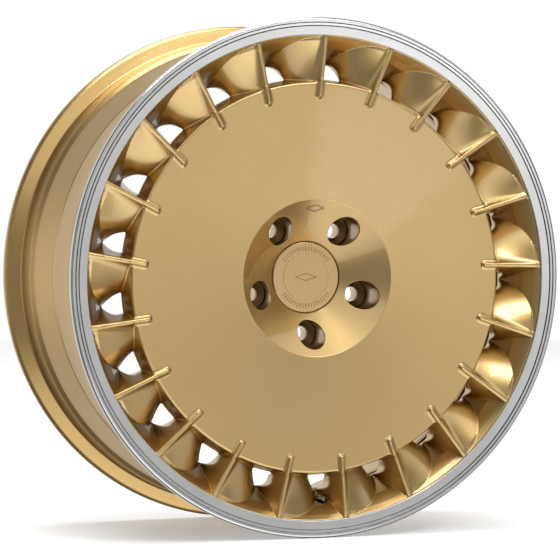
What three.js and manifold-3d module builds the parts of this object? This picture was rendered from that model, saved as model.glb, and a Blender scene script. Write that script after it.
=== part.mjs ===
// Forged multi-piece racing wheel, 19 x 8.5J, with a turbofan centre.
// Millimetres. The wheel stands upright and its axle runs along Y: the street face looks
// towards -Y, +Z is up, and the origin is the middle of the wheel on its axle.
//
// Profiles below are lists of [radius, depth]: depth 0 is the plane of the street-side flange
// and grows towards the car. Angles are degrees from +X towards +Z.

import * as THREE from 'three';
import { ConvexGeometry } from 'three/addons/geometries/ConvexGeometry.js';
import { mergeVertices } from 'three/addons/utils/BufferGeometryUtils.js';
import Module from 'manifold-3d';

const wasm = await Module();
wasm.setup();

// ---- driving dimensions ------------------------------------------------------------------
const RIM_WIDTH = 240;          // over both flanges; 8.5 in between the tyre beads
const FLANGE_R = 258.5;
const JOINT_DEPTH = 58;         // rear face of the centre's ring, where the rim halves bolt on
const GAP = 0.3;                // kept between pieces that touch
const OUTER_FLANGE = 4;         // thickness of the bolting flanges of the two rim halves
const INNER_FLANGE = 5;

const BLADES = 21;
const PITCH = 360 / BLADES;
const FIRST_FIN_DEG = 89.5;     // where the first fin's tip stands on the disc
const FIN_CREST = 4.9;          // depth of the fins' crests
const FIN_TIP_R = 179.7;
const FIN_END_R = 238.4;
const FIN_LEAN_DEG = 1.45;      // a fin's outer end trails its tip by this much
const DISC_R = 194.5;

const LUG_COUNT = 5;
const LUG_PCD_R = 57.15;        // 5 x 114.3
const FIRST_LUG_DEG = -90.5;
const LUG_WELL_R = 14.1;
const LUG_HOLE_R = 7.5;
const LUG_LEDGE = 60;           // depth where a lug well ends on its ledge
const HUB_FACE = 75;            // depth of the face that meets the car's hub, offset 45
const HUB_BORE_R = 36.55;
const CAP_BORE_R = 33.1;
const CAP_R = 35.65;
const CAP_FACE = 41.3;
const CAP_LEGS = 6;

const BOLT_CIRCLE_R = 207;
const BOLT_LAG_DEG = -2.5;      // bolts sit behind the thick of each blade, before its fin
const BOLT_R = 3.5;
const BOLT_TIP = 45;
const BOLT_HEAD = 6;
const WASHER = 1.2;

const VALVE_DEG = -86.7;
const VALVE_R = 5.75;
const VALVE_SEAT = [223.3, 31.5];
const VALVE_TILT_DEG = 30;      // between the valve hole and the axle

const ROUND = 48;               // facets of the big rings
const FINE = 24;                // facets of the hub-sized rings

// ---- finishes ----------------------------------------------------------------------------
const finish = (color, roughness, metalness) => new THREE.MeshStandardMaterial({ color, roughness, metalness });
const GOLD = finish(0xb8975a, 0.35, 0.6);
const POLISHED = finish(0xc9cbcd, 0.2, 1.0);
const STEEL = finish(0x8d8f92, 0.4, 1.0);
const BLACK_STEEL = finish(0x2c2c2e, 0.45, 0.8);
const RUBBER = finish(0x161616, 0.8, 0.0);
const NYLON = finish(0x3a3a3c, 0.6, 0.0);

// ---- placing -----------------------------------------------------------------------------
const rad = THREE.MathUtils.degToRad;
const axial = (depth) => depth - RIM_WIDTH / 2;

// A point at a radius and depth, at an angle, moved sideways clockwise as seen from the street.
function polar(radius, depth, deg, side = 0) {
  const a = rad(deg);
  const x = radius * Math.cos(a) + side * Math.sin(a);
  const z = radius * Math.sin(a) - side * Math.cos(a);
  return new THREE.Vector3(x, axial(depth), z);
}

// ---- solids ------------------------------------------------------------------------------
function signedVolume(geometry) {
  const p = geometry.attributes.position;
  const index = geometry.index.array;
  const [a, b, c] = [new THREE.Vector3(), new THREE.Vector3(), new THREE.Vector3()];
  let volume = 0;
  for (let i = 0; i < index.length; i += 3) {
    a.fromBufferAttribute(p, index[i]);
    b.fromBufferAttribute(p, index[i + 1]);
    c.fromBufferAttribute(p, index[i + 2]);
    volume += a.dot(b.cross(c)) / 6;
  }
  return volume;
}

// A closed three.js geometry as a solid, turned the right way out.
function solid(geometry) {
  geometry.deleteAttribute('normal');
  geometry.deleteAttribute('uv');
  const merged = mergeVertices(geometry, 1e-4);
  const index = Array.from(merged.index.array);
  const flipped = signedVolume(merged) < 0;
  const triVerts = [];
  for (let i = 0; i < index.length; i += 3) {
    const [a, b, c] = index.slice(i, i + 3);
    if (a !== b && b !== c && c !== a) triVerts.push(a, flipped ? c : b, flipped ? b : c);
  }
  const vertProperties = new Float32Array(merged.attributes.position.array);
  return new wasm.Manifold(new wasm.Mesh({ numProp: 3, vertProperties, triVerts: new Uint32Array(triVerts) }));
}

// A ring or disc turned about the axle from a closed outline of [radius, depth].
function turned(outline, facets = ROUND) {
  const points = outline.map(([r, depth]) => new THREE.Vector2(r, axial(depth)));
  if (outline[0][0] > 0) points.push(points[0].clone());
  return solid(new THREE.LatheGeometry(points, facets, Math.PI / facets));
}

const hull = (points) => solid(new ConvexGeometry(points));

// A round or many-sided bar between two points.
function bar(from, to, radius, facets) {
  const along = to.clone().sub(from);
  const geometry = new THREE.CylinderGeometry(radius, radius, along.length(), facets);
  geometry.applyQuaternion(new THREE.Quaternion().setFromUnitVectors(new THREE.Vector3(0, 1, 0), along.clone().normalize()));
  geometry.translate(...from.clone().add(to).multiplyScalar(0.5));
  return solid(geometry);
}

// A bar parallel to the axle.
const axialBar = (radius, deg, depths, barRadius, facets) =>
  bar(polar(radius, depths[0], deg), polar(radius, depths[1], deg), barRadius, facets);

const join = (first, ...others) => others.reduce((sum, s) => sum.add(s), first);
const cut = (first, ...others) => others.reduce((sum, s) => sum.subtract(s), first);
const each = (count, make) => Array.from({ length: count }, (_, i) => make(i));

const wheel = new THREE.Group();

function piece(name, shape, material) {
  const mesh = shape.getMesh();
  const geometry = new THREE.BufferGeometry();
  geometry.setAttribute('position', new THREE.BufferAttribute(mesh.vertProperties, 3));
  geometry.setIndex(new THREE.BufferAttribute(mesh.triVerts, 1));
  geometry.computeVertexNormals();
  const node = new THREE.Mesh(geometry, material);
  node.name = name;
  wheel.add(node);
}

// ---- repeated cutters --------------------------------------------------------------------
const finDeg = (i) => FIRST_FIN_DEG - i * PITCH;
const boltDeg = (i) => finDeg(i) - BOLT_LAG_DEG;
const lugDeg = (i) => FIRST_LUG_DEG + i * (360 / LUG_COUNT);

function valveDrill(radius, start, end) {
  const [r, depth] = VALVE_SEAT;
  const t = rad(VALVE_TILT_DEG);
  const reach = (s) => polar(r + s * Math.sin(t), depth + s * Math.cos(t), VALVE_DEG);
  return bar(reach(start), reach(end), radius, 16);
}

// ---- wheel centre: disc, hub, ring and blades in one forging -------------------------------
const discAndHub = turned([
  [HUB_BORE_R, HUB_FACE], [HUB_BORE_R, 62.8], [CAP_BORE_R, 62.8], [CAP_BORE_R, 46.8],
  [CAP_R + 0.45, 46.8], [CAP_R + 0.45, 41.9], [37, 41.1],
  [78.5, 8.2], [DISC_R - 2, 8.3], [DISC_R, 10.2],
  [198.2, 30.2], [197, 34], [191.5, 34], [188, 14], [98, 14], [80, 27], [74, 46], [74, HUB_FACE],
]);

const ring = turned([
  [241.9, 3.5], [236.5, 9.5], [228.4, 21], [214, 50], [213, JOINT_DEPTH],
  [219, JOINT_DEPTH], [219.5, 52], [233.5, 26], [235.9, 16], [241.9, 10.4],
]);

// A blade is hollow behind: its scoop and its steep wall meet under the fin's crest like a
// folded sheet, and a boss inside the fold takes the bolt.
function blade(i) {
  const deg = finDeg(i);
  const end = deg - FIN_LEAN_DEG;
  const crest = [
    polar(192, FIN_CREST + 1, deg, -1), polar(192, FIN_CREST + 1, deg, 2),
    polar(FIN_END_R, FIN_CREST, end, -1.5), polar(FIN_END_R, FIN_CREST, end, 1.5),
  ];
  const scoop = hull([
    ...crest, polar(193, 26, deg + 8.6), polar(228.4, 21, deg + 10.4), polar(231, 24, deg + 10.4),
    polar(193, 33, deg + 7.6), polar(224, 31, deg + 10.3), polar(193, 16, deg), polar(234, 16, end),
  ]);
  const wall = hull([
    ...crest, polar(193, 32, deg - 3), polar(214, 50, deg - 5), polar(222, 50, deg - 4.6),
    polar(193, 32, deg - 1.4), polar(214, 50, deg - 3.4), polar(222, 50, deg - 3),
  ]);
  const pad = [BOLT_LAG_DEG - 2.2, BOLT_LAG_DEG + 2.2];
  const boss = hull(pad.flatMap((lag) => [
    polar(200, 18, deg - lag), polar(200, JOINT_DEPTH, deg - lag), polar(215, JOINT_DEPTH, deg - lag),
    polar(221, 48, deg - lag), polar(221, 18, deg - lag),
  ]));
  return join(scoop, wall, boss);
}

// The fin's run on to the face of the disc, with a rounded tip.
function fin(i) {
  const deg = finDeg(i);
  const tip = [[0, 0.9], [1.6, 1.8]];
  const crest = tip.flatMap(([r, s]) => [-s, s].map((side) => polar(FIN_TIP_R + r, FIN_CREST, deg, side)));
  const foot = tip.flatMap(([r, s]) => [-s, s].map((side) => polar(FIN_TIP_R - 1.2 + r, 10, deg, side * 1.7)));
  const back = [-1.8, 1.8].map((side) => polar(199, FIN_CREST, deg - 0.4, side));
  const root = [-3, 3].map((side) => polar(199, 14, deg - 0.4, side));
  return hull([...crest, ...foot, ...back, ...root]);
}

const lugWells = each(LUG_COUNT, (i) =>
  join(
    axialBar(LUG_PCD_R, lugDeg(i), [-5, LUG_LEDGE], LUG_WELL_R, 20),
    axialBar(LUG_PCD_R, lugDeg(i), [LUG_LEDGE - 2, HUB_FACE + 5], LUG_HOLE_R, 16),
  ),
);
const tappedHoles = each(BLADES, (i) =>
  axialBar(BOLT_CIRCLE_R, boltDeg(i), [BOLT_TIP - 1, JOINT_DEPTH + 5], BOLT_R + 0.4, 8));

const bladeStock = join(...each(BLADES, (i) => blade(i).add(fin(i))));
const centre = cut(join(discAndHub, ring, bladeStock), ...lugWells, ...tappedHoles,
  valveDrill(VALVE_R, -40, 30));
piece('wheel_centre', centre, GOLD);

// ---- rim halves ----------------------------------------------------------------------------
// A bolting flange has one lobe behind each blade and is open behind the windows.
function lobe(i, front, rear) {
  const deg = boltDeg(i);
  const corners = [[200, -8], [200, 8], [217, -8], [217, 8]];
  return hull(corners.flatMap(([r, side]) => [front, rear].map((depth) => polar(r, depth, deg, side))));
}

function boltHoles(front, rear) {
  return each(BLADES, (i) => axialBar(BOLT_CIRCLE_R, boltDeg(i), [front - 3, rear + 3], BOLT_R + 0.4, 8));
}

const outerFront = JOINT_DEPTH + GAP;
const outerRear = outerFront + OUTER_FLANGE;
const innerFront = outerRear + GAP;
const innerRear = innerFront + INNER_FLANGE;

const outerHalf = turned([
  [242.3, 3], [251.5, 0], [257, 0], [FLANGE_R, 1.8], [FLANGE_R, 7.5], [250, 12.8], [244.6, 16],
  [243.2, 19], [241.4, 36], [242.9, 39.5], [231.5, 57], [228.5, outerRear],
  [214.6, outerRear], [214.6, outerFront], [225.3, outerFront], [237.3, 38.6], [237.3, 15.2],
  [242.3, 10.8],
]);
piece('outer_rim_half', cut(join(outerHalf, ...each(BLADES, (i) => lobe(i, outerFront, outerRear))),
  ...boltHoles(outerFront, outerRear), valveDrill(VALVE_R, 4, 45)), POLISHED);

const innerHalf = turned([
  [228.5, innerFront], [231, 67], [223.5, 76], [223.5, 93], [230.5, 102], [232, 147], [239.8, 190],
  [243.2, 195.5], [241.4, 203], [243.2, 221], [244.6, 224], [250, 227.2],
  [FLANGE_R, 232.5], [FLANGE_R, 238.4], [256, RIM_WIDTH], [250, RIM_WIDTH],
  [243, 236], [238.7, 226], [235.9, 190], [228, 147], [226.5, 103.2], [219.5, 95], [219.5, innerRear],
  [214.6, innerRear], [214.6, innerFront],
]);
piece('inner_rim_half', cut(join(innerHalf, ...each(BLADES, (i) => lobe(i, innerFront, innerRear))),
  ...boltHoles(innerFront, innerRear)), GOLD);

// A bead of cured sealant closes the joint on the tyre's side.
const jointDepth = (outerRear + innerFront) / 2;
piece('joint_seal', turned([
  [229.4, jointDepth], [232, 58.6], [232.5, jointDepth], [231.6, 66.1],
]), RUBBER);

// ---- assembly bolts and their washers --------------------------------------------------------
const washerFront = innerRear + GAP;
const headFront = washerFront + WASHER + GAP;

for (let i = 0; i < BLADES; i += 1) {
  const deg = boltDeg(i);
  const shank = axialBar(BOLT_CIRCLE_R, deg, [BOLT_TIP, headFront + 1], BOLT_R, 8);
  const head = axialBar(BOLT_CIRCLE_R, deg, [headFront, headFront + BOLT_HEAD], 5.8, 6);
  piece(`assembly_bolt_${i + 1}`, shank.add(head), STEEL);
  const disc = axialBar(BOLT_CIRCLE_R, deg, [washerFront, washerFront + WASHER], 6.6, 8);
  const hole = axialBar(BOLT_CIRCLE_R, deg, [washerFront - 1, washerFront + WASHER + 1], BOLT_R + 0.4, 8);
  piece(`bolt_washer_${i + 1}`, disc.subtract(hole), STEEL);
}

// ---- lug seats: pressed-in steel rings with a conical seat for the lug bolts -------------------
for (let i = 0; i < LUG_COUNT; i += 1) {
  const deg = lugDeg(i);
  const depths = [50, LUG_LEDGE - GAP];
  const blank = axialBar(LUG_PCD_R, deg, depths, LUG_WELL_R - GAP, 20);
  const seat = new THREE.CylinderGeometry(LUG_HOLE_R, LUG_WELL_R - 1.3, 7, 20);
  seat.translate(...polar(LUG_PCD_R, depths[0] + 3.45, deg));
  const hole = axialBar(LUG_PCD_R, deg, [depths[0], depths[1] + 1], LUG_HOLE_R, 20);
  piece(`lug_seat_${i + 1}`, cut(blank, solid(seat), hole), STEEL);
}

// ---- hub centring ring -------------------------------------------------------------------------
piece('hub_centring_ring', turned([
  [33.3, 63.2], [HUB_BORE_R - GAP, 63.2], [HUB_BORE_R - GAP, 74.2], [35.4, 74.9], [34.2, 74.9], [33.3, 73.5],
], FINE), NYLON);

// ---- centre cap, which pulls out towards the street ----------------------------------------------
const capShell = turned([
  [0, CAP_FACE + 1.1], [24, CAP_FACE + 1.1], [24, CAP_FACE], [34.6, CAP_FACE], [CAP_R, CAP_FACE + 0.8],
  [CAP_R, 43], [34.4, 43], [34.4, 45], [CAP_R, 45], [CAP_R, 46.2], [32.6, 46.2], [32.6, 60], [30, 60],
  [30, 46], [0, 46],
], FINE);
const legSlots = each(CAP_LEGS / 2, (i) => {
  const slot = new THREE.BoxGeometry(80, 13, 9);
  slot.translate(0, axial(54.5), 0);
  slot.rotateY(rad(i * (180 / (CAP_LEGS / 2))));
  return solid(slot);
});
piece('cap_shell', cut(capShell, ...legSlots), GOLD);
piece('cap_badge_plate', turned([
  [0, CAP_FACE + 0.1], [23.2, CAP_FACE + 0.1], [23.7, CAP_FACE + 0.4], [23.7, CAP_FACE + 0.8], [0, CAP_FACE + 0.8],
], FINE), GOLD);

function wireRing(radius, depth, wire) {
  const geometry = new THREE.TorusGeometry(radius, wire, 5, FINE);
  geometry.rotateX(Math.PI / 2);
  geometry.translate(0, axial(depth), 0);
  return solid(geometry);
}
piece('cap_spring_ring', wireRing(28.7, 54, 0.9), BLACK_STEEL);
piece('cap_o_ring', wireRing(35.3, 44, 0.55), RUBBER);

export default wheel;
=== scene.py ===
"""Looks of the racing wheel: fine surfaces, materials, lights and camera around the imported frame."""
import math
import bmesh
import bpy
import mathutils
import numpy as np
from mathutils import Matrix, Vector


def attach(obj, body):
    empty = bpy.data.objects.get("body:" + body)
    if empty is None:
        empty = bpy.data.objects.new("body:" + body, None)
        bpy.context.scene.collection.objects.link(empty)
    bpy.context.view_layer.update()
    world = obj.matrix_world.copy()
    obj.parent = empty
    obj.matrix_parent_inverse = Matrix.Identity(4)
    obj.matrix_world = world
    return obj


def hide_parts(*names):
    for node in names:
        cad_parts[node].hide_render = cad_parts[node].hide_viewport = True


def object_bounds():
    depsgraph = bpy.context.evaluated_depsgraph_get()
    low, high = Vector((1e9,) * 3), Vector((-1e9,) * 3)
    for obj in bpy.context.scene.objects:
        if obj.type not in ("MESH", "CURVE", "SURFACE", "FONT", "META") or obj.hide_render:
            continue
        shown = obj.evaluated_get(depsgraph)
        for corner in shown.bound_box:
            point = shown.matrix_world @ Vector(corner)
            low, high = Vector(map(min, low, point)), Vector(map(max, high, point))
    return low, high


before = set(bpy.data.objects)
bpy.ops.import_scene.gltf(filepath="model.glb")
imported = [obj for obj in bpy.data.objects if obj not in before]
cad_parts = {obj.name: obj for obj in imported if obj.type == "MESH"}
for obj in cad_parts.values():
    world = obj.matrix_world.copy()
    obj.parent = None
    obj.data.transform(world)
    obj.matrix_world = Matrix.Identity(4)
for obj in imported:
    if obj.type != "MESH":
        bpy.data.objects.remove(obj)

CAD_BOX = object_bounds()

# ---- driving dimensions, in millimetres --------------------------------------------------
# Depth is measured from the street-side flange towards the car; angles called clockwise are
# seen from the street.
RIM_WIDTH = 240.0
BLADES = 21
PITCH = 360.0 / BLADES
FIRST_FIN_DEG = 89.5
CREST = 4.9
FIN_TIP_R = 179.7
FIN_LEAN = 0.103            # sideways drift of a fin for each millimetre outwards
DISC_R = 194.5
DISC_FACE = 8.3
LUG_COUNT = 5
LUG_PCD_R = 57.15
FIRST_LUG_DEG = -90.5
BOLT_CIRCLE_R = 207.0
BOLT_DEG = 2.5              # a bolt's angle anticlockwise of its fin
VALVE_DEG = -86.7
VALVE_SEAT = (223.3, 31.5)
VALVE_TILT = math.radians(30)
VALVE_R = 5.75

MM = 0.001
CORNER_R = 0.35             # rounding of an outline's corner that states none
CAP_FACE = 41.3             # depth of the cap's street face
CONE_OUTER_R = 78.5         # the dish falls from the disc face here to the cap's edge
CONE_SLOPE = 32.8 / 41.5


# ---- small shape functions, distances negative inside ---------------------------------------
def smin(a, b, k):
    """Union of two distances with a fillet about k wide."""
    h = np.clip(0.5 + 0.5 * (b - a) / k, 0.0, 1.0)
    return b * (1 - h) + a * h - k * h * (1 - h)


def smax(a, b, k):
    """Intersection of two distances with a rounded edge about k wide."""
    return -smin(-a, -b, k)


def section(points):
    """Signed distance to a closed outline of (radius, depth)."""
    pts = np.array(points, float)

    def distance(r, u):
        best = np.full(np.shape(r), np.inf)
        inside = np.zeros(np.shape(r), bool)
        for (ax, ay), (bx, by) in zip(pts, np.roll(pts, -1, axis=0)):
            ex, ey = bx - ax, by - ay
            wx, wy = r - ax, u - ay
            t = np.clip((wx * ex + wy * ey) / (ex * ex + ey * ey), 0, 1)
            best = np.minimum(best, (wx - t * ex) ** 2 + (wy - t * ey) ** 2)
            crosses = (ay > u) != (by > u)
            run = ex / ey if ey else 0.0
            inside ^= crosses & (r < ax + (u - ay) * run)
        return np.where(inside, -1, 1) * np.sqrt(best)
    return distance


# ---- the blade ring ---------------------------------------------------------------------------
RING = section([(242, 3.4), (240.6, 4.2), (236.8, 9.0), (228.4, 21), (214, 50), (217, 53), (217, 58),
                (222, 58), (222, 50), (233.5, 27), (235.9, 16), (241.9, 10.4)])
DISC_BACK = section([(150, 2), (200, 2), (200, 30), (197, 34), (191.5, 34), (188, 14), (150, 14)])
WINDOW_R = 214.0
SCOOP_A = np.array([224.7, -41.1, 21.0])       # outer, inner and hidden corner of a blade's
SCOOP_D = np.array([197.5, -29.7, 26.0])       # trailing side: along the fin, across it, depth
SCOOP_P = np.array([209.2, -45.0, 50.0])
trail_cross = np.cross(SCOOP_D - SCOOP_A, SCOOP_P - SCOOP_A)
TRAIL_NORMAL = trail_cross / np.linalg.norm(trail_cross)


def blade(q, t, u):
    """One blade: q runs out along its fin's tip line, t clockwise across it."""
    crest_t = (q - FIN_TIP_R) * FIN_LEAN
    away = crest_t - 1.8 - t
    s = np.maximum(away, 0)
    w = np.clip((np.hypot(q, t) - 197) / 39, 0, 1)
    inner = DISC_FACE + 0.5 + 0.58 * s
    outer = 5.2 + 16 * (s / 44) ** 2.2
    scoop = (inner * (1 - w) + outer * w - u) * 0.88
    wall = (t - crest_t - 1.8 - 0.302 * (u - CREST)) * 0.957
    trail = -((q - SCOOP_A[0]) * TRAIL_NORMAL[0] + (t - SCOOP_A[1]) * TRAIL_NORMAL[1]
              + (u - SCOOP_A[2]) * TRAIL_NORMAL[2])
    body = smax(scoop, trail, 12.0)
    rib_plan = np.hypot(np.maximum(FIN_TIP_R + 2.0 - q, 0), t - crest_t) - 1.8 - 0.22 * (u - CREST)
    rib = smax(rib_plan, CREST - u, 1.6)
    body = smax(smin(body, rib, 6.0), wall, 1.6)
    body = smax(body, 195.2 - q, 4.0)
    return body, rib


def window(q, t):
    """The opening cut along the axle between a blade and the next one."""
    r = np.hypot(q, t)
    psi = np.degrees(np.arctan2(t, q))
    left = (2.85 - psi) * math.radians(1) * r
    right = (psi - 8.62 + 0.115 * (r - 199.7)) * math.radians(1) * r
    return smax(smax(smax(left, right, 4.0), r - WINDOW_R, 9.0), 198.5 - r, 3.0)


def blade_ring(r, psi, u):
    """Distance to the outer part of the centre; psi is clockwise from the first fin's tip."""
    psi = np.mod(psi + 4.0, PITCH) - 4.0
    rim = (r - DISC_R - (u - DISC_FACE) * 0.169) * 0.986
    disc = np.maximum(smax(rim, DISC_FACE - u, 2.2), DISC_BACK(r, u))
    solid = np.minimum(disc, RING(r, u))
    holes = np.full(np.shape(r), 1e3)
    bosses = np.full(np.shape(r), 1e3)
    front = disc
    for step in (0, 1):
        a = np.radians(psi - step * PITCH)
        q, t = r * np.cos(a), r * np.sin(a)
        body, rib = blade(q, t, u)
        front = smin(front, np.minimum(body, rib), 3.0)
        b = math.radians(-BOLT_DEG)
        bq, bt = BOLT_CIRCLE_R * math.cos(b), BOLT_CIRCLE_R * math.sin(b)
        boss = np.maximum(np.hypot(q - bq, t - bt) - 8.0, 14 - u)
        bosses = np.minimum(bosses, boss)
        if step == 0:
            holes = window(q, t)
    # behind: a conical back from the disc's wall to the ring, with a pocket behind each blade
    back = (u - 30.2 - (r - 198.2) * 1.1) * 0.67
    skin = np.interp(u, [3.4, 10.4, 16, 27, 50], [241.4, 241.4, 235.4, 233.0, 221.5])
    webs = np.maximum(front, np.maximum(back, r - skin))
    pocket = np.maximum(np.maximum(front + 6.5, 5.5 - holes), np.maximum(r - 219, 30 - u))
    webs = smax(webs, -pocket, 2.0)
    bosses = np.maximum(np.maximum(bosses, front + 3), np.maximum(u - 58, r - 220))
    solid = np.minimum(solid, webs)
    solid = smin(solid, bosses, 2.0)
    return smax(solid, -holes, 1.0)


def to_xyz(r, psi, u):
    a = np.radians(FIRST_FIN_DEG - psi)
    return np.stack([r * np.cos(a), u - RIM_WIDTH / 2, r * np.sin(a)], axis=-1) * MM


# ---- meshing a distance field on a polar grid ---------------------------------------------------
def surface_net(field, rs, psis, us):
    """Vertices (r, psi, u) and quads of the zero surface; the grid wraps round in psi."""
    nr, nt, nu = field.shape
    inside = field < 0
    wrap = np.concatenate([field, field[:, :1]], axis=1)
    wrap_in = wrap < 0
    corners = [(i, j, k) for i in (0, 1) for j in (0, 1) for k in (0, 1)]
    count = sum(wrap_in[i:nr - 1 + i, j:nt + j, k:nu - 1 + k].astype(np.int8) for i, j, k in corners)
    cell = np.argwhere((count > 0) & (count < 8))
    ci, cj, ck = cell.T
    ids = np.full((nr - 1, nt, nu - 1), -1, np.int64)
    ids[ci, cj, ck] = np.arange(len(cell))
    total = np.zeros((len(cell), 3))
    hits = np.zeros(len(cell))
    for n, a in enumerate(corners):
        for b in corners[n + 1:]:
            if sum(x != y for x, y in zip(a, b)) != 1:
                continue
            fa = wrap[ci + a[0], cj + a[1], ck + a[2]]
            fb = wrap[ci + b[0], cj + b[1], ck + b[2]]
            cross = (fa < 0) != (fb < 0)
            t = np.where(cross, fa / np.where(cross, fa - fb, 1), 0)
            for axis in range(3):
                total[:, axis] += np.where(cross, a[axis] + t * (b[axis] - a[axis]), 0)
            hits += cross
    total /= hits[:, None]
    dr, dp, du = rs[1] - rs[0], psis[1] - psis[0], us[1] - us[0]
    verts = np.stack([rs[0] + (ci + total[:, 0]) * dr, psis[0] + (cj + total[:, 1]) * dp,
                      us[0] + (ck + total[:, 2]) * du], axis=1)
    quads = []
    before = np.roll(ids, 1, axis=1)
    flip = inside[:-1, :, 1:-1] != inside[1:, :, 1:-1]
    i, j, k = np.argwhere(flip).T
    quads.append(np.stack([before[i, j, k], ids[i, j, k], ids[i, j, k + 1], before[i, j, k + 1]], 1))
    nxt = np.roll(inside, -1, axis=1)
    flip = inside[1:-1, :, 1:-1] != nxt[1:-1, :, 1:-1]
    i, j, k = np.argwhere(flip).T
    quads.append(np.stack([ids[i, j, k], ids[i + 1, j, k], ids[i + 1, j, k + 1], ids[i, j, k + 1]], 1))
    flip = inside[1:-1, :, :-1] != inside[1:-1, :, 1:]
    i, j, k = np.argwhere(flip).T
    quads.append(np.stack([before[i, j, k], before[i + 1, j, k], ids[i + 1, j, k], ids[i, j, k]], 1))
    return verts, np.concatenate(quads)


def gradient(fn, v, step=0.05):
    """Gradient in millimetres of a field of (r, psi, u), given in the axes r, psi, u."""
    g = np.empty_like(v)
    for axis in range(3):
        d = np.zeros(3)
        d[axis] = step
        if axis == 1:
            turn = np.degrees(step / v[:, 0])
            hi = fn(v[:, 0], v[:, 1] + turn, v[:, 2])
            lo = fn(v[:, 0], v[:, 1] - turn, v[:, 2])
        else:
            hi = fn(v[:, 0] + d[0], v[:, 1], v[:, 2] + d[2])
            lo = fn(v[:, 0] - d[0], v[:, 1], v[:, 2] - d[2])
        g[:, axis] = (hi - lo) / (2 * step)
    return g


def settle(fn, v, rounds=3, reach=0.8):
    """Move the vertices on to the surface."""
    for _ in range(rounds):
        f = fn(v[:, 0], v[:, 1], v[:, 2])
        g = gradient(fn, v)
        step = -f / np.maximum((g ** 2).sum(1), 0.05)
        move = g * np.clip(step, -reach, reach)[:, None]
        v[:, 0] += move[:, 0]
        v[:, 1] += np.degrees(move[:, 1] / v[:, 0])
        v[:, 2] += move[:, 2]
    return v


def normals_xyz(g, psi):
    a = np.radians(FIRST_FIN_DEG - psi)
    n = np.stack([g[:, 0] * np.cos(a) + g[:, 1] * np.sin(a), g[:, 2],
                  g[:, 0] * np.sin(a) - g[:, 1] * np.cos(a)], axis=1)
    return n / np.linalg.norm(n, axis=1)[:, None]


# ---- mesh building ------------------------------------------------------------------------------
def mesh_object(name, verts, faces, normals, material):
    """A smooth mesh from vertex positions in metres, arrays of equal-sided faces, and vertex normals."""
    mesh = bpy.data.meshes.new(name)
    loops = np.concatenate([f.ravel() for f in faces]).astype(np.int32)
    sizes = np.concatenate([np.full(len(f), f.shape[1]) for f in faces])
    starts = np.concatenate([[0], np.cumsum(sizes)[:-1]]).astype(np.int32)
    mesh.vertices.add(len(verts))
    mesh.vertices.foreach_set("co", np.asarray(verts, np.float32).ravel())
    mesh.loops.add(len(loops))
    mesh.loops.foreach_set("vertex_index", loops)
    mesh.polygons.add(len(sizes))
    mesh.polygons.foreach_set("loop_start", starts)
    mesh.update(calc_edges=True)
    mesh.validate()
    mesh.polygons.foreach_set("use_smooth", np.ones(len(mesh.polygons), bool))
    if normals is not None:
        mesh.normals_split_custom_set_from_vertices(np.asarray(normals, np.float32))
    mesh.materials.append(material)
    obj = bpy.data.objects.new(name, mesh)
    bpy.context.scene.collection.objects.link(obj)
    return obj


def rounded(points):
    """Points and outward normals of a closed outline of (radius, depth[, corner radius])."""
    pts = [(p[0], p[1], p[2] if len(p) > 2 else CORNER_R) for p in points]
    n = len(pts)
    area = sum(pts[i][0] * pts[(i + 1) % n][1] - pts[(i + 1) % n][0] * pts[i][1] for i in range(n))
    if area < 0:
        pts = pts[::-1]
    out, nor = [], []
    for i in range(n):
        p = np.array(pts[i][:2])
        a, b = np.array(pts[i - 1][:2]), np.array(pts[(i + 1) % n][:2])
        d1, d2 = (p - a), (b - p)
        l1, l2 = np.linalg.norm(d1), np.linalg.norm(d2)
        d1, d2 = d1 / l1, d2 / l2
        n1, n2 = np.array([d1[1], -d1[0]]), np.array([d2[1], -d2[0]])
        turn = math.atan2(d1[0] * d2[1] - d1[1] * d2[0], float(d1 @ d2))
        reach = abs(math.tan(turn / 2)) * pts[i][2]
        limit = 0.45 * min(l1, l2)
        radius = pts[i][2] if reach <= limit else limit / max(abs(math.tan(turn / 2)), 1e-9)
        if abs(turn) < 0.01:
            out.append(p)
            nor.append(n1)
            continue
        start = p - d1 * abs(math.tan(turn / 2)) * radius
        centre = start - n1 * radius * (1 if turn > 0 else -1)
        steps = max(2, int(math.ceil(abs(math.degrees(turn)) / 15)))
        for k in range(steps + 1):
            w = turn * k / steps
            m = np.array([n1[0] * math.cos(w) - n1[1] * math.sin(w),
                          n1[0] * math.sin(w) + n1[1] * math.cos(w)])
            out.append(centre + m * radius * (1 if turn > 0 else -1))
            nor.append(m)
    return np.array(out), np.array(nor)


def lathed(name, points, material, segments=504, shape=None, exact=True):
    """Ring turned from a closed outline; shape(r, u, degrees) may move the radius for lobes."""
    p, n = rounded(points)
    count = len(p)
    deg = np.arange(segments) * 360.0 / segments
    r = np.repeat(p[None, :, 0], segments, 0)
    u = np.repeat(p[None, :, 1], segments, 0)
    a = np.radians(deg)[:, None]
    if shape:
        r = shape(r, u, np.repeat(deg[:, None], count, 1))
    verts = np.stack([r * np.cos(a), u - RIM_WIDTH / 2, r * np.sin(a)], -1).reshape(-1, 3) * MM
    normals = np.stack([n[:, 0] * np.cos(a), n[:, 1] + 0 * a, n[:, 0] * np.sin(a)], -1).reshape(-1, 3)
    i = np.arange(segments)[:, None]
    j = np.arange(count)[None, :]
    i2, j2 = (i + 1) % segments, (j + 1) % count
    quads = np.stack([i * count + j, i * count + j2, i2 * count + j2, i2 * count + j], -1).reshape(-1, 4)
    closed_on_axle = min(point[0] for point in points) == 0
    if closed_on_axle:
        keep = ~((r[quads // count, quads % count] < 1e-6).sum(1) >= 3)
        quads = quads[keep]
    return mesh_object(name, verts, [quads], normals if exact else None, material)


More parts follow.
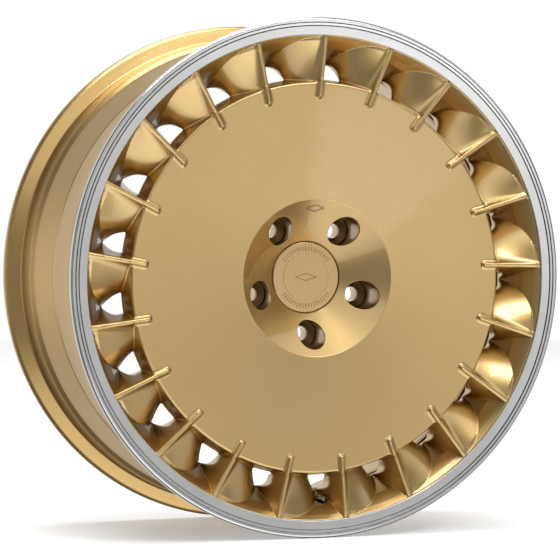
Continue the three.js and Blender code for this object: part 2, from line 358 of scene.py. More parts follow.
# ---- the wheel centre: blade ring, plain disc and hub in one skin -------------------------------
JOIN_R = 172.5
HUB_R = 100.5
DISH = 0.05                  # inward tilt of the disc face, as a slope
OUTER_CELLS = 50              # grid steps across one blade pitch
HUB_CELLS = 105               # grid steps across a fifth of the hub


def polar_skin(fn, rs, us, pitch, start, cells, copies, join_low, join_high):
    """Surface of fn repeated round the axle: positions, normals, quads, and its open rings' ids."""
    psis = start + np.arange(cells) * pitch / cells
    R, P, U = np.meshgrid(rs, psis, us, indexing="ij")
    field = fn(R, P, U)
    v, quads = surface_net(field, rs, psis, us)
    ci = np.floor((v[:, 0] - rs[0]) / (rs[1] - rs[0]) + 1e-6).astype(int)
    cj = np.floor((v[:, 1] - psis[0]) / (psis[1] - psis[0]) + 1e-6).astype(int)
    v = settle(fn, v)
    g = gradient(fn, v)
    rings = {}
    for key, column, radius in (("low", 0, join_low), ("high", len(rs) - 2, join_high)):
        if radius is None:
            continue
        for side, sel in (("front", g[:, 2] < 0), ("back", g[:, 2] > 0)):
            ids = np.nonzero((ci == column) & sel)[0]
            ids = ids[np.argsort(cj[ids])]
            v[ids, 0] = radius
            v[ids, 1] = psis[0] + (cj[ids] + 0.5) * pitch / cells
            v[ids, 2] = DISC_FACE if side == "front" else 14.0
            g[ids] = (0, 0, -1 if side == "front" else 1)
            rings[key, side] = ids
    xyz, nor, faces = [], [], []
    n = len(v)
    col = cj[quads]
    wraps = (col.max(1) == cells - 1) & (col.min(1) == 0)
    for s in range(copies):
        xyz.append(to_xyz(v[:, 0], v[:, 1] + s * pitch, v[:, 2]))
        nor.append(normals_xyz(g, v[:, 1] + s * pitch))
        f = quads + s * n
        back = wraps[:, None] & (col == cells - 1)
        f = np.where(back, quads + ((s - 1) % copies) * n, f)
        faces.append(f)
    xyz, nor, faces = np.concatenate(xyz), np.concatenate(nor), np.concatenate(faces)
    a, b, c = xyz[faces[:, 0]], xyz[faces[:, 1]], xyz[faces[:, 2]]
    d = xyz[faces[:, 3]]
    way = (np.cross(c - a, d - b) * (nor[faces[:, 0]] + nor[faces[:, 2]])).sum(1) < 0
    faces[way] = faces[way][:, ::-1]
    full = {k: np.concatenate([ids + s * n for s in range(copies)]) for k, ids in rings.items()}
    return xyz, nor, faces, full


HUB = section([(36.55, 75), (36.55, 62.8), (33.1, 62.8), (33.1, 46.8), (36.1, 46.8), (36.1, 41.9),
               (37, 41.1), (CONE_OUTER_R, DISC_FACE), (150, DISC_FACE), (150, 14), (98, 14), (80, 27),
               (74, 46),
               (74, 75)])


def hub(r, psi, u):
    """Distance to the hub and dish; psi is clockwise from a lug hole."""
    psi = np.mod(psi + 36.0, 72.0) - 36.0
    a = np.radians(psi)
    away = np.hypot(r * np.cos(a) - LUG_PCD_R, r * np.sin(a))
    well = np.maximum(away - 14.1, u - 60)
    hole = away - 7.5
    return smax(HUB(r, u), -np.minimum(well, hole), 0.8)


def valve_place(r, psi, u):
    """Distance from the valve drilling's axis and travel along it; it leans outwards going back."""
    a = np.radians(FIRST_FIN_DEG - psi - VALVE_DEG)
    q, t, d = r * np.cos(a) - VALVE_SEAT[0], r * np.sin(a), u - VALVE_SEAT[1]
    away = np.hypot(q * math.cos(VALVE_TILT) - d * math.sin(VALVE_TILT), t)
    return away, q * math.sin(VALVE_TILT) + d * math.cos(VALVE_TILT)


def drilled_ring(r, psi, u):
    """Distance to the outer part of the centre with the valve's hole in it."""
    away, along = valve_place(r, psi, u)
    drill = np.maximum(away - VALVE_R, np.maximum(-40 - along, along - 30))
    return smax(blade_ring(r, psi, u), -drill, 1.5)


def wheel_centre(material):
    rs = np.arange(JOIN_R - 0.5, 244.5, 1.1)
    us = np.arange(2.4, 60.6, 1.1)
    ring = polar_skin(drilled_ring, rs, us, 360.0, -4.0, OUTER_CELLS * BLADES, 1, JOIN_R, None)
    hub_shift = FIRST_FIN_DEG - FIRST_LUG_DEG
    rs = np.arange(32.1, HUB_R + 0.9, 0.95)
    us = np.arange(6.15, 77.0, 0.95)
    mid = polar_skin(lambda r, p, u: hub(r, p - hub_shift, u), rs, us, 72.0, -4.0, HUB_CELLS, LUG_COUNT,
                     None, HUB_R)
    xyz, nor, faces, rings = ring
    xyz2, nor2, faces2, rings2 = mid
    shift = len(xyz)
    verts, normals, quads, fives = [xyz, xyz2], [nor, nor2], [faces, faces2 + shift], []
    top = len(xyz) + len(xyz2)
    for side in ("front", "back"):
        outer, inner = rings["low", side], rings2["high", side] + shift
        half = len(outer) // 2
        depth = DISC_FACE if side == "front" else 14.0
        toward = -1.0 if side == "front" else 1.0
        start = -4.0 + 0.5 * 72.0 / HUB_CELLS
        psi = start + np.arange(half) * 360.0 / half
        radii = [168.0, 150.0, 130.0, 113.0]
        previous = None
        for n, radius in enumerate(radii):
            verts.append(to_xyz(np.full(half, radius), psi, np.full(half, depth)))
            normals.append(np.repeat([[0.0, toward, 0.0]], half, 0))
            ids = top + np.arange(half)
            top += half
            if n == 0:
                i = np.arange(half)
                nxt = (i + 1) % half
                # an outer ring has two points for each inner one, a quarter step to either side
                fives.append(np.stack([ids, ids[nxt], outer[(2 * i + 2) % len(outer)], outer[2 * i + 1]], 1))
                fives.append(np.stack([ids, outer[2 * i + 1], outer[2 * i]], 1))
            else:
                quads.append(np.stack([ids, np.roll(ids, -1), np.roll(previous, -1), previous], 1))
            previous = ids
        quads.append(np.stack([inner, np.roll(inner, -1), np.roll(previous, -1), previous], 1))
    xyz, nor = np.concatenate(verts), np.concatenate(normals)
    groups = [np.concatenate(quads + [f for f in fives if f.shape[1] == 4])]
    groups += [f for f in fives if f.shape[1] == 3]
    for f in groups:
        a, b, c = xyz[f[:, 0]], xyz[f[:, 1]], xyz[f[:, 2]]
        way = (np.cross(b - a, c - a) * nor[f].sum(1)).sum(1) < 0
        f[way] = f[way][:, ::-1]
    # the disc face is flat in its points; DISH tilts its normals inward, by about three degrees
    r = np.hypot(xyz[:, 0], xyz[:, 2])
    face = (nor[:, 1] < -0.9995) & (r > (CONE_OUTER_R + 1) * MM) & (r < DISC_R * MM)
    nor[face, 0] -= DISH * xyz[face, 0] / r[face]
    nor[face, 2] -= DISH * xyz[face, 2] / r[face]
    return mesh_object("wheel_centre_fine", xyz, groups, nor, material)


# ---- materials ----------------------------------------------------------------------------------
class Nodes:
    """Short way to write a node tree."""

    def __init__(self, name):
        self.mat = bpy.data.materials.new(name)
        self.mat.use_nodes = True
        self.tree = self.mat.node_tree
        self.bsdf = self.tree.nodes["Principled BSDF"]
        self.place = self.add("ShaderNodeTexCoord").outputs["Object"]

    def add(self, kind, inputs=None, **settings):
        node = self.tree.nodes.new(kind)
        for key, value in settings.items():
            setattr(node, key, value)
        for key, value in (inputs or {}).items():
            if hasattr(value, "is_output"):
                self.tree.links.new(value, node.inputs[key])
            else:
                node.inputs[key].default_value = value
        return node

    def math(self, op, a, b=0.0, clamp=False):
        return self.add("ShaderNodeMath", {0: a, 1: b}, operation=op, use_clamp=clamp).outputs[0]

    def noise(self, scale, detail=2.0, rough=0.5, vector=None):
        node = self.add("ShaderNodeTexNoise", {"Scale": scale, "Detail": detail, "Roughness": rough,
                                               "Vector": vector or self.place})
        return node.outputs["Fac"]

    def stretch(self, x, y, z):
        return self.add("ShaderNodeMapping", {"Vector": self.place, "Scale": (x, y, z)}).outputs[0]

    def ramp(self, fac, stops):
        node = self.add("ShaderNodeValToRGB", {"Fac": fac})
        ramp = node.color_ramp
        for i, (at, colour) in enumerate(stops):
            stop = ramp.elements[i] if i < 2 else ramp.elements.new(at)
            stop.position = at
            stop.color = (*colour, 1.0)
        return node.outputs["Color"]

    def span(self, fac, low, high):
        return self.add("ShaderNodeMapRange", {"Value": fac, "To Min": low, "To Max": high}).outputs[0]

    def bump(self, height, distance, strength=1.0):
        inputs = {"Height": height, "Distance": distance, "Strength": strength}
        return self.add("ShaderNodeBump", inputs).outputs[0]

    def radius(self):
        split = self.add("ShaderNodeSeparateXYZ", {0: self.place}).outputs
        square = self.math("ADD", self.math("MULTIPLY", split[0], split[0]),
                           self.math("MULTIPLY", split[2], split[2]))
        return self.math("SQRT", square), split[1]

    def tangent(self):
        return self.add("ShaderNodeTangent", direction_type="RADIAL", axis="Y").outputs[0]

    def finish(self, **sockets):
        for key, value in sockets.items():
            socket = self.bsdf.inputs[key.replace("_", " ")]
            if hasattr(value, "is_output"):
                self.tree.links.new(value, socket)
            else:
                socket.default_value = value
        return self.mat


def gold(name, base, dark, rough, flake=0.22, aniso=0.0, coat=1.0):
    """Metallic gold paint under a clear coat: fine flakes, faint orange peel, and painted shade darkening the
    corners.
    """
    n = Nodes(name)
    flakes = n.add("ShaderNodeTexVoronoi", {"Vector": n.place, "Scale": 1600.0}).outputs["Color"]
    spark = n.add("ShaderNodeSeparateColor", {0: flakes}).outputs[0]
    cloud = n.noise(9.0, 4.0)
    tone = n.math("ADD", n.math("MULTIPLY", spark, flake), n.math("MULTIPLY", cloud, 0.35))
    colour = n.ramp(tone, [(0.0, dark), (0.75, base)])
    # painted shade: ambient occlusion darkens the paint's colour in corners and recesses
    sides = n.add("ShaderNodeAmbientOcclusion", {"Distance": 0.012}, samples=6).outputs["AO"]
    shade = n.ramp(sides, [(0.15, (0.55, 0.47, 0.40)), (0.85, (1.0, 1.0, 1.0))])
    colour = n.add("ShaderNodeMix", {0: 1.0, 6: colour, 7: shade}, data_type="RGBA",
                   blend_type="MULTIPLY").outputs[2]
    peel = n.bump(n.noise(420.0, 2.0), 0.00001, 0.08)
    sparkle = n.bump(spark, 0.00002, 0.25)
    roughness = n.span(n.noise(60.0, 3.0), rough - 0.04, rough + 0.05)
    settings = {"Base_Color": colour, "Metallic": 1.0, "Roughness": roughness, "Normal": sparkle,
                "Coat_Weight": coat, "Coat_Roughness": 0.012, "Coat_IOR": 1.5, "Coat_Normal": peel}
    if aniso:
        settings["Anisotropic"] = aniso
        settings["Tangent"] = n.tangent()
    return n.finish(**settings)


def metal(name, base, low, high, grain=0.00002, turned=True, aniso=0.0):
    """Bare metal with turning lines, light stains, and painted shade darkening the grooves."""
    n = Nodes(name)
    if turned:
        radius, depth = n.radius()
        path = n.add("ShaderNodeCombineXYZ", {0: n.math("MULTIPLY", radius, 900.0),
                                             1: n.math("MULTIPLY", depth, 900.0), 2: 0.0}).outputs[0]
    else:
        path = n.stretch(900.0, 40.0, 900.0)
    lines = n.noise(1.0, 3.0, 0.6, path)
    stain = n.noise(14.0, 5.0, 0.6)
    colour = n.ramp(stain, [(0.3, tuple(c * 0.86 for c in base)), (0.7, base)])
    # painted shade: ambient occlusion darkens the metal's colour in grooves and recesses
    groove_occlusion = n.add("ShaderNodeAmbientOcclusion", {"Distance": 0.002}, samples=6).outputs["AO"]
    dark = n.ramp(groove_occlusion, [(0.35, (0.16, 0.16, 0.165)), (0.9, (1.0, 1.0, 1.0))])
    colour = n.add("ShaderNodeMix", {0: 1.0, 6: colour, 7: dark}, data_type="RGBA",
                   blend_type="MULTIPLY").outputs[2]
    rough = n.span(n.math("ADD", n.math("MULTIPLY", lines, 0.6), n.math("MULTIPLY", stain, 0.4)), low, high)
    settings = {"Base_Color": colour, "Metallic": 1.0, "Roughness": rough,
                "Normal": n.bump(lines, grain, 0.5)}
    if aniso:
        settings["Anisotropic"] = aniso
        settings["Tangent"] = n.tangent()
    return n.finish(**settings)


def plastic(name, base, rough, scale=300.0):
    """Moulded rubber or nylon with a fine grain."""
    n = Nodes(name)
    grain = n.noise(scale, 3.0)
    colour = n.ramp(n.noise(30.0, 3.0), [(0.3, tuple(c * 0.75 for c in base)), (0.7, base)])
    return n.finish(Base_Color=colour, Roughness=n.span(grain, rough - 0.08, rough + 0.08),
                    Normal=n.bump(grain, 0.00008, 0.4))


GOLD = (0.66, 0.465, 0.195)
GOLD_DEEP = (0.50, 0.335, 0.12)
gold_paint = gold("gold_paint", GOLD, GOLD_DEEP, 0.33, aniso=0.2)
gold_barrel = gold("gold_barrel", (0.66, 0.455, 0.185), (0.50, 0.33, 0.12), 0.32, coat=0.25)
gold_cap = gold("gold_cap", (0.64, 0.45, 0.20), (0.48, 0.32, 0.12), 0.26, flake=0.2)
gold_mark = gold("gold_mark", (0.40, 0.27, 0.11), (0.28, 0.18, 0.07), 0.3)
polished = metal("polished_lip", (0.63, 0.63, 0.62), 0.12, 0.24, 0.000012, aniso=0.4)
bolt_steel = metal("bolt_steel", (0.42, 0.42, 0.43), 0.26, 0.42)
washer_steel = metal("washer_steel", (0.62, 0.61, 0.58), 0.24, 0.40)
seat_steel = metal("seat_steel", (0.36, 0.28, 0.17), 0.22, 0.38)
spring_steel = metal("spring_steel", (0.55, 0.55, 0.56), 0.18, 0.32, turned=False)
sealant = plastic("sealant", (0.30, 0.30, 0.31), 0.55)
rubber = plastic("rubber", (0.012, 0.012, 0.013), 0.62)
nylon = plastic("nylon", (0.035, 0.035, 0.037), 0.48)


# ---- the pieces -----------------------------------------------------------------------------------
def stand_in(obj, body, slot, *nodes):
    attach(obj, body)
    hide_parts(*nodes)
    return obj


stand_in(wheel_centre(gold_paint), "wheel", "gold_paint", "wheel_centre")

BOLT_ANGLES = [FIRST_FIN_DEG - i * PITCH + BOLT_DEG for i in range(BLADES)]


def lobes(r, u, degrees):
    """Rear and front flanges reach inwards in a tongue at each assembly bolt."""
    offset = np.mod(degrees - BOLT_ANGLES[0] + PITCH / 2, PITCH) - PITCH / 2
    across = np.abs(np.radians(offset)) * BOLT_CIRCLE_R
    fall = np.clip((11.0 - across) / 4.5, 0, 1)
    tongue = 14.0 * fall * fall * (3 - 2 * fall)
    return np.where(r < 217.5, r - tongue, r)


LIP = [(241.3, 1.9, 0.2), (241.9, 1.35, 0.3), (249.7, 0.75, 0.15), (249.9, 1.9, 0.1), (250.5, 1.9, 0.1),
       (250.8, 0.45, 0.3), (253.0, 0.2, 0.3), (253.3, 1.4, 0.1), (253.9, 1.4, 0.1), (254.1, 0.3, 0.2),
       (256.9, 0.0, 2.0), (258.5, 1.9, 1.2), (258.5, 7.3, 1.6), (250, 12.8, 5),
       (244.9, 15.6, 3), (243.2, 19, 2), (241.4, 36, 3), (242.9, 39.5, 3), (240.6, 43.5, 3),
       (231.5, 57, 4), (228.5, 62.3, 0.6), (214.6, 62.3, 0.8), (214.6, 58.3, 0.8), (225.3, 58.3, 3),
       (237.3, 38.6, 4), (237.3, 16.0, 2), (241.3, 11.0, 1)]


def valve_point(away, turn, along):
    """World position at a distance from the valve's axis, an angle round it and a travel along it."""
    w, t = away * math.cos(turn), away * math.sin(turn)
    q = VALVE_SEAT[0] + w * math.cos(VALVE_TILT) + along * math.sin(VALVE_TILT)
    u = VALVE_SEAT[1] - w * math.sin(VALVE_TILT) + along * math.cos(VALVE_TILT)
    a = math.radians(VALVE_DEG)
    return ((q * math.cos(a) - t * math.sin(a)) * MM, (u - RIM_WIDTH / 2) * MM,
            (q * math.sin(a) + t * math.cos(a)) * MM)


def drilled(obj, outline, sides=64):
    """Cut the valve's hole through a turned ring, then give its faces the outline's exact normals."""
    turns = [2 * math.pi * k / sides for k in range(sides)]
    verts = [valve_point(VALVE_R, turn, along) for along in (3.0, 45.0) for turn in turns]
    faces = [(k, (k + 1) % sides, sides + (k + 1) % sides, sides + k) for k in range(sides)]
    faces += [tuple(range(sides - 1, -1, -1)), tuple(range(sides, 2 * sides))]
    tool = bpy.data.meshes.new("valve_drill")
    tool.from_pydata(verts, [], faces)
    bm = bmesh.new()
    bm.from_mesh(tool)
    bmesh.ops.recalc_face_normals(bm, faces=bm.faces)
    bm.to_mesh(tool)
    bm.free()
    cutter = bpy.data.objects.new("valve_drill", tool)
    bpy.context.scene.collection.objects.link(cutter)
    cut = obj.modifiers.new("valve_hole", "BOOLEAN")
    cut.operation, cut.solver, cut.object = "DIFFERENCE", "EXACT", cutter
    before = obj.data
    mesh = bpy.data.meshes.new_from_object(obj.evaluated_get(bpy.context.evaluated_depsgraph_get()))
    obj.modifiers.remove(cut)
    bpy.data.objects.remove(cutter)
    bpy.data.meshes.remove(tool)
    obj.data = mesh
    mesh.name = before.name
    bpy.data.meshes.remove(before)

    p, n = rounded(outline)
    p2, n2 = np.roll(p, -1, 0), np.roll(n, -1, 0)
    along = p2 - p
    length = np.maximum((along ** 2).sum(1), 1e-12)
    polys = len(mesh.polygons)
    centre, facing = np.zeros(polys * 3, np.float32), np.zeros(polys * 3, np.float32)
    mesh.polygons.foreach_get("center", centre)
    mesh.polygons.foreach_get("normal", facing)
    centre, facing = centre.reshape(-1, 3) / MM, facing.reshape(-1, 3)
    spot = np.stack([np.hypot(centre[:, 0], centre[:, 2]), centre[:, 1] + RIM_WIDTH / 2], 1)
    best, nearest = np.full(polys, 1e9), np.zeros(polys, int)
    for k in range(len(p)):
        t = np.clip(((spot - p[k]) @ along[k]) / length[k], 0, 1)
        gap = np.hypot(*(spot - p[k] - t[:, None] * along[k]).T)
        nearest[gap < best] = k
        best = np.minimum(best, gap)
    sizes, corners = np.zeros(polys, np.int32), np.zeros(len(mesh.loops), np.int32)
    mesh.polygons.foreach_get("loop_total", sizes)
    mesh.loops.foreach_get("vertex_index", corners)
    verts = np.zeros(len(mesh.vertices) * 3, np.float32)
    mesh.vertices.foreach_get("co", verts)
    at = verts.reshape(-1, 3)[corners] / MM
    poly = np.repeat(np.arange(polys), sizes)
    k = nearest[poly]
    r, u = np.hypot(at[:, 0], at[:, 2]), at[:, 1] + RIM_WIDTH / 2
    t = np.clip((((np.stack([r, u], 1) - p[k]) * along[k]).sum(1)) / length[k], 0, 1)[:, None]
    flat = n[k] * (1 - t) + n2[k] * t
    normals = np.stack([flat[:, 0] * at[:, 0] / r, flat[:, 1], flat[:, 0] * at[:, 2] / r], 1)
    start, end = np.array(valve_point(0, 0, 0)) / MM, np.array(valve_point(0, 0, 1)) / MM
    axis = end - start
    out = at - start
    out -= (out @ axis)[:, None] * axis
    reach = centre - start
    reach -= (reach @ axis)[:, None] * axis
    wall = (np.linalg.norm(reach, axis=1) < VALVE_R + 0.05) & (np.abs(facing @ axis) < 0.1)
    normals = np.where(wall[poly][:, None], -out, normals)
    normals *= np.sign((normals * facing[poly]).sum(1))[:, None]
    normals /= np.linalg.norm(normals, axis=1)[:, None]
    mesh.normals_split_custom_set(normals.tolist())
    return obj


outer_half = stand_in(drilled(lathed("outer_rim_half_fine", LIP, polished, 630, shape=lobes), LIP), "wheel",
                      "polished_lip", "outer_rim_half")
# only the lip and the tyre side are bare: the hidden side towards the blades is painted
outer_half.data.materials.append(gold_barrel)
centres = np.zeros(len(outer_half.data.polygons) * 3, np.float32)
outer_half.data.polygons.foreach_get("center", centres)
centres = centres.reshape(-1, 3) / MM
away, deep = np.hypot(centres[:, 0], centres[:, 2]), centres[:, 1] + RIM_WIDTH / 2
tyre_side = np.interp(deep, [10, 16, 38, 58, 63], [241.0, 240.0, 239.5, 228.3, 227.0])
outer_half.data.polygons.foreach_set("material_index", ((deep > 10.9) & (away < tyre_side)).astype(np.int32))

BARREL = [(228.5, 62.6, 0.6), (231, 67, 2), (223.5, 76, 6), (223.5, 93, 6), (230.5, 102, 6),
          (231.8, 143.5, 2), (232.6, 146.2, 0.8), (232.6, 147.8, 0.8), (232.2, 150.5, 2), (239.6, 189, 2),
          (243.2, 194.6, 2.2), (243.2, 196.6, 2.2), (241.4, 203, 4), (243.2, 221, 3), (243.8, 224.4, 3),
          (251.2, 228.6, 3), (255.8, 231.0, 4), (258.4, 234.6, 4), (258.5, 239.0, 1.2), (256, 240, 1.6),
          (250, 240, 2),
          (243, 236, 6), (238.7, 226, 8), (235.9, 190, 8), (228.3, 149, 6), (226.5, 103.2, 6), (219.5, 95, 6),
          (219.5, 67.6, 3), (214.6, 67.6, 0.8), (214.6, 62.6, 0.8)]
stand_in(lathed("inner_rim_half_fine", BARREL, gold_barrel, 504, shape=lobes), "wheel", "gold_barrel",
         "inner_rim_half")

SEAL = [(229.4, 62.45, 0.3), (232, 58.6, 0.8), (232.6, 62.45, 1.2), (231.6, 66.1, 0.8)]
stand_in(lathed("joint_seal_fine", SEAL, sealant, 360), "wheel", "sealant", "joint_seal")

HUB_RING = [(33.3, 63.2, 0.4), (36.25, 63.2, 0.3), (36.25, 74.2, 0.5), (35.4, 74.9, 0.3),
            (34.2, 74.9, 0.4), (33.3, 73.5, 0.4)]
stand_in(lathed("hub_centring_ring_fine", HUB_RING, nylon, 180), "wheel", "nylon", "hub_centring_ring")


def moved(obj, degrees, radius):
    """Carry a mesh made about the wheel's axle out to a place round it."""
    a = math.radians(degrees)
    shift = np.array([radius * math.cos(a), 0.0, radius * math.sin(a)]) * MM
    co = np.zeros(len(obj.data.vertices) * 3, np.float32)
    obj.data.vertices.foreach_get("co", co)
    obj.data.vertices.foreach_set("co", (co.reshape(-1, 3) + shift).astype(np.float32).ravel())
    obj.data.update()
    return obj


def bolt_shape(r, u, degrees):
    """Twelve-point head between the flange of the bolt and its tip; everything else stays round."""
    points = 0.93 + 0.07 * np.abs(np.cos(np.radians(degrees) * 6.0)) ** 0.7
    return np.where((r > 4.6) & (u > 70.9), r * points, r)


BOLT = [(0, 45.2), (2.6, 45.2, 0.3), (3.5, 46.4, 0.3), (3.5, 69.3, 0.2), (5.8, 69.4, 0.3), (5.8, 70.4, 0.3),
        (5.2, 70.9, 0.2), (5.3, 71.2, 0.1), (5.3, 74.6, 0.5), (4.5, 75.4, 0.3), (2.6, 75.4, 0.3),
        (2.2, 74.7, 0.3), (0, 74.7)]
WASHER = [(3.9, 67.9, 0.15), (6.6, 67.9, 0.3), (6.6, 69.1, 0.35), (3.9, 69.1, 0.15)]
for i, deg in enumerate(BOLT_ANGLES):
    bolt = lathed(f"assembly_bolt_{i + 1}_fine", BOLT, bolt_steel, 72, shape=bolt_shape, exact=False)
    bolt = moved(bolt, deg, BOLT_CIRCLE_R)
    stand_in(bolt, "wheel", "bolt_steel", f"assembly_bolt_{i + 1}")
    washer = moved(lathed(f"bolt_washer_{i + 1}_fine", WASHER, washer_steel, 48), deg, BOLT_CIRCLE_R)
    stand_in(washer, "wheel", "washer_steel", f"bolt_washer_{i + 1}")

SEAT = [(7.5, 57.0, 0.2), (12.8, 50.4, 0.3), (13.1, 50.0, 0.2), (13.8, 50.5, 0.3), (13.8, 59.6, 0.3),
        (7.5, 59.6, 0.2)]
for i in range(LUG_COUNT):
    seat = moved(lathed(f"lug_seat_{i + 1}_fine", SEAT, seat_steel, 120), FIRST_LUG_DEG + 72 * i, LUG_PCD_R)
    stand_in(seat, "wheel", "seat_steel", f"lug_seat_{i + 1}")

# the cap: a shell with six separate legs and a plain round badge plate
SHELL = [(0, 42.4), (24, 42.4, 0.1), (24, 41.3, 0.2), (34.6, 41.3, 0.5), (35.65, 42.2, 0.4), (35.65, 43, 0.2),
         (34.4, 43.1, 0.2), (34.4, 44.9, 0.2), (35.65, 45, 0.2), (35.65, 46.2, 0.2), (32.6, 46.4, 0.6),
         (30, 46.4, 0.3), (0, 46.4)]
shell = lathed("cap_shell_fine", SHELL, gold_cap, 180)
stand_in(shell, "cap", "gold_cap", "cap_shell")
for k in range(6):
    steps = np.radians(30 + 60 * k + np.linspace(-17, 17, 15))
    leg = np.array([(30.1, 46.0), (30.1, 59.6), (30.5, 60.0), (32.0, 60.0), (33.0, 58.0), (32.5, 56.0),
                    (32.5, 46.0)])
    count = len(leg)
    verts = np.array([[r * math.cos(a), u - RIM_WIDTH / 2, r * math.sin(a)]
                      for a in steps for r, u in leg]) * MM
    quads = np.array([[i * count + j, i * count + (j + 1) % count, (i + 1) * count + (j + 1) % count,
                       (i + 1) * count + j] for i in range(len(steps) - 1) for j in range(count)])
    ends = np.array([list(range(count)), [(len(steps) - 1) * count + j for j in range(count)][::-1]])
    obj = mesh_object(f"cap_leg_{k + 1}_fine", verts, [quads, ends], None, gold_cap)
    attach(obj, "cap")

BADGE = [(0, 41.3), (23.93, 41.3, 0.08), (23.95, 41.7, 0.1), (23.95, 42.3, 0.1), (0, 42.3)]
stand_in(lathed("cap_badge_plate_fine", BADGE, gold_cap, 180), "cap", "gold_badge", "cap_badge_plate")


def torus(name, ring_r, wire_r, depth, material, segments=180):
    around = [(ring_r + wire_r * math.cos(w), depth + wire_r * math.sin(w), wire_r * 0.3)
              for w in np.linspace(0, 2 * math.pi, 16, endpoint=False)]
    return lathed(name, around, material, segments)


stand_in(torus("cap_spring_ring_fine", 28.7, 0.9, 54, spring_steel), "cap", "spring_steel", "cap_spring_ring")
LIP_SEAL = [(35.72, 42.6, 0.1), (36.02, 42.2, 0.1), (36.05, 44.6, 0.2), (34.8, 44.8, 0.2), (34.6, 43.5, 0.2),
            (35.6, 43.3, 0.1)]
stand_in(lathed("cap_o_ring_fine", LIP_SEAL, rubber, 180), "cap", "rubber", "cap_o_ring")


RELIEF_BEVEL = 0.12


def relief(name, shapes, depth_of, rise, sink, material, body):
    """Low raised figures on the street side: each shape is a closed outline of (x, z) in millimetres."""
    verts, sides, tops, base = [], [], {}, 0
    for outline in shapes:
        pts = np.array(outline, float)
        mid = pts.mean(0)
        n = len(pts)
        top = mid + (pts - mid) * (1 - RELIEF_BEVEL / np.abs(pts - mid).max())
        rows = [(pts, sink), (pts, -rise + RELIEF_BEVEL), (top, -rise)]
        for ring, off in rows:
            for x, z in ring:
                verts.append((x, depth_of(math.hypot(x, z)) + off - RIM_WIDTH / 2, z))
        for k in range(2):
            for j in range(n):
                a, b = base + k * n + j, base + k * n + (j + 1) % n
                sides.append((a, b, b + n, a + n))
        tops.setdefault(n, []).append([base + 2 * n + j for j in range(n)])
        tops[n].append([base + j for j in range(n)][::-1])
        base += 3 * n
    verts = np.array(verts) * MM
    faces = [np.array(sides)] + [np.array(t) for t in tops.values()]
    obj = mesh_object(name, verts, faces, None, material)
    obj.data.polygons.foreach_set("use_smooth", np.zeros(len(obj.data.polygons), bool))
    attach(obj, body)


def bar(cx, cz, along, across, degrees):
    """Rounded bar as an outline, for the figures of the relief."""
    a = math.radians(degrees)
    out = []
    for side, sign in ((1, 1), (-1, -1)):
        for w in np.radians(np.linspace(-90, 90, 5)):
            u = sign * (along / 2 - across / 2 + across / 2 * math.cos(w))
            v = sign * across / 2 * math.sin(w)
            out.append((cx + u * math.cos(a) - v * math.sin(a), cz + u * math.sin(a) + v * math.cos(a)))
    return out


TICK_R = 28.6
ticks = [bar(TICK_R * math.cos(math.radians(d)), TICK_R * math.sin(math.radians(d)),
             4.2 if k % 3 else 5.2, 0.9, d)
         for middle in (90, 270) for k, d in enumerate(np.arange(middle - 54, middle + 54.1, 6))]
relief("cap_tick_marks", ticks, lambda r: CAP_FACE, 0.3, 0.2, gold_mark, "cap")
LOZENGE = [(-11, 0), (0, 3.6), (11, 0), (0, -3.6)]


def frame_bars(cx, cz, corners, width):
    shapes = []
    for (x0, z0), (x1, z1) in zip(corners, corners[1:] + corners[:1]):
        shapes.append(bar(cx + (x0 + x1) / 2, cz + (z0 + z1) / 2, math.hypot(x1 - x0, z1 - z0) + width * 0.6,
                          width, math.degrees(math.atan2(z1 - z0, x1 - x0))))
    return shapes


relief("cap_lozenge_mark", frame_bars(0, 0, LOZENGE, 0.9), lambda r: CAP_FACE, 0.3, 0.2, gold_mark, "cap")
relief("dish_lozenge_mark", frame_bars(0, 69.0, [(-9.5, 0), (0, 3.2), (9.5, 0), (0, -3.2)], 0.9),
       lambda r: DISC_FACE + (CONE_OUTER_R - r) * CONE_SLOPE, 0.35, 0.5, gold_mark, "wheel")


# ---- floor, backdrop, light and camera -------------------------------------------------------------
def floor():
    """A wide round floor under the wheel."""
    z = CAD_BOX[0][2] - 0.0006
    ring = [(4.0 * math.cos(a), 4.0 * math.sin(a), z) for a in np.radians(np.arange(0, 360, 5))]
    mesh = bpy.data.meshes.new("floor")
    mesh.from_pydata(ring, [], [tuple(range(len(ring)))])
    n = Nodes("floor")
    n.finish(Base_Color=n.ramp(n.noise(3.0), [(0.0, (0.95, 0.95, 0.95)), (1.0, (0.98, 0.98, 0.98))]),
             Roughness=0.6, Emission_Color=(1, 1, 1, 1), Emission_Strength=0.28)
    mesh.materials.append(n.mat)
    obj = bpy.data.objects.new("floor", mesh)
    bpy.context.scene.collection.objects.link(obj)
    obj.visible_glossy = False


floor()


def area_light(name, place, aim, size, power):
    data = bpy.data.lights.new(name, "AREA")
    data.shape = "RECTANGLE"
    data.size, data.size_y = size
    data.energy = power
    obj = bpy.data.objects.new(name, data)
    bpy.context.scene.collection.objects.link(obj)
    obj.location = place
    way = np.array(aim) - np.array(place)
    obj.rotation_euler = mathutils.Vector(way).to_track_quat("-Z", "Y").to_euler()


area_light("key", (1.0, -2.4, 2.3), (0, 0, 0), (1.4, 1.0), 30)
area_light("top", (-0.3, 0.2, 2.6), (0, 0, 0), (2.4, 1.6), 55)
bpy.context.scene.view_settings.view_transform = "Standard"


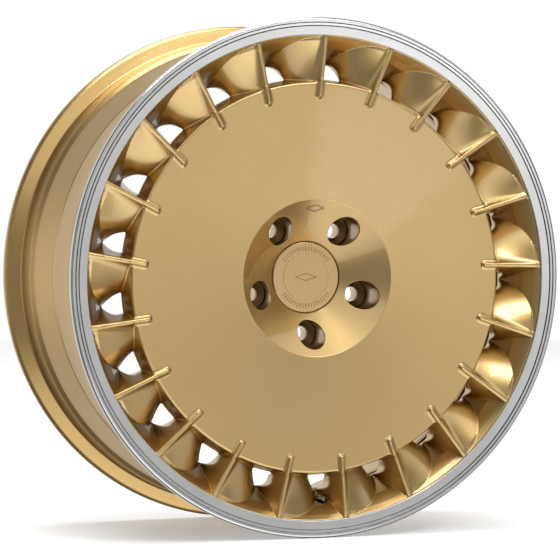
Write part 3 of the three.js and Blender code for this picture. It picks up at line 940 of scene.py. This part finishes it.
def studio():
    """White to the camera; to the wheel, a dim surround with soft round lights and two panels."""
    world = bpy.data.worlds.new("studio")
    world.use_nodes = True
    bpy.context.scene.world = world
    tree = world.node_tree

    def node(kind, inputs=None, **settings):
        made = tree.nodes.new(kind)
        for key, value in settings.items():
            setattr(made, key, value)
        for key, value in (inputs or {}).items():
            if hasattr(value, "is_output"):
                tree.links.new(value, made.inputs[key])
            else:
                made.inputs[key].default_value = value
        return made

    way = node("ShaderNodeTexCoord").outputs["Generated"]

    def patch(centre, inner, outer, gain):
        """A soft-edged round light: full within inner, gone beyond outer, as cosines."""
        c = mathutils.Vector(centre).normalized()
        dot = node("ShaderNodeVectorMath", {0: way, 1: c}, operation="DOT_PRODUCT").outputs["Value"]
        return node("ShaderNodeMapRange", {"Value": dot, "From Min": outer, "From Max": inner,
                                           "To Min": 0.0, "To Max": gain},
                    interpolation_type="SMOOTHSTEP").outputs[0]

    front = mathutils.Vector(FRONT).normalized()
    up = (mathutils.Vector((0, 0, 1)) - front * front.z).normalized()
    side = mathutils.Vector((-front.y, front.x, 0)).normalized()

    def ramp(axis, low, high):
        dot = node("ShaderNodeVectorMath", {0: way, 1: axis}, operation="DOT_PRODUCT").outputs["Value"]
        return node("ShaderNodeMapRange", {"Value": dot, "From Min": low, "From Max": high},
                    interpolation_type="SMOOTHSTEP").outputs[0]

    def wedge(start, stop, gain, near, far):
        """A panel with straight edges, between two angles about the front; near and far are cosines."""
        a, b = math.radians(start), math.radians(stop)
        made = node("ShaderNodeMath", {0: ramp(up * math.cos(a) - side * math.sin(a), 0.0, 0.012),
                                       1: ramp(side * math.sin(b) - up * math.cos(b), 0.0, 0.012)},
                    operation="MULTIPLY").outputs[0]
        for limit in (ramp(front, near, far), ramp(front, 0.05, 0.25)):
            made = node("ShaderNodeMath", {0: made, 1: limit}, operation="MULTIPLY").outputs[0]
        return node("ShaderNodeMath", {0: made, 1: gain}, operation="MULTIPLY").outputs[0]

    total = SURROUND
    parts = [patch(*spot) for spot in STUDIO_LIGHTS] + [wedge(*panel) for panel in PANELS]
    for part in parts:
        total = node("ShaderNodeMath", {0: part, 1: total}, operation="ADD").outputs[0]
    seen = node("ShaderNodeLightPath").outputs["Is Camera Ray"]
    power = node("ShaderNodeMix", {0: seen, 2: total, 3: 1.0}).outputs[0]
    back = tree.nodes["Background"]
    back.inputs["Color"].default_value = (1, 1, 1, 1)
    tree.links.new(power, back.inputs["Strength"])


FRONT = (0.35, -0.936, -0.03)     # where a flat face on the street side mirrors the camera's ray
SURROUND = 0.21
STUDIO_LIGHTS = [
    # towards, cosine where the patch is full, cosine where it ends, strength
    ((0.30, -0.95, -0.08), 0.98, 0.84, 0.385),
    ((0.22, -0.85, -0.48), 0.95, 0.80, 0.36),
    ((0.88, -0.36, -0.28), 0.95, 0.885, 0.52),
    ((-0.87, -0.49, 0.0), 0.97, 0.88, 0.18),
    ((-0.90, 0.43, 0.0), 0.97, 0.90, 0.85),
    ((-0.05, 0.97, -0.05), 0.92, 0.58, 0.70),
]
PANELS = [
    # from, to in degrees about the front, strength, cosines between which the panel fades in
    (208, 291, 1.1, -0.45, -0.25),
    (27, 160, 1.0, 0.80, 0.60),
]
studio()

CAMERA_AT = (-1.2281, -3.2879, 0.1026)
CAMERA_WAY = (0.3502, 0.9362, -0.0307)
camera = bpy.data.cameras.new("camera")
camera.sensor_width = 36.0
camera.lens = 220.3
camera.clip_end = 50.0
view = bpy.data.objects.new("camera", camera)
bpy.context.scene.collection.objects.link(view)
view.location = CAMERA_AT
view.rotation_euler = mathutils.Vector(CAMERA_WAY).to_track_quat("-Z", "Y").to_euler()
bpy.context.scene.camera = view
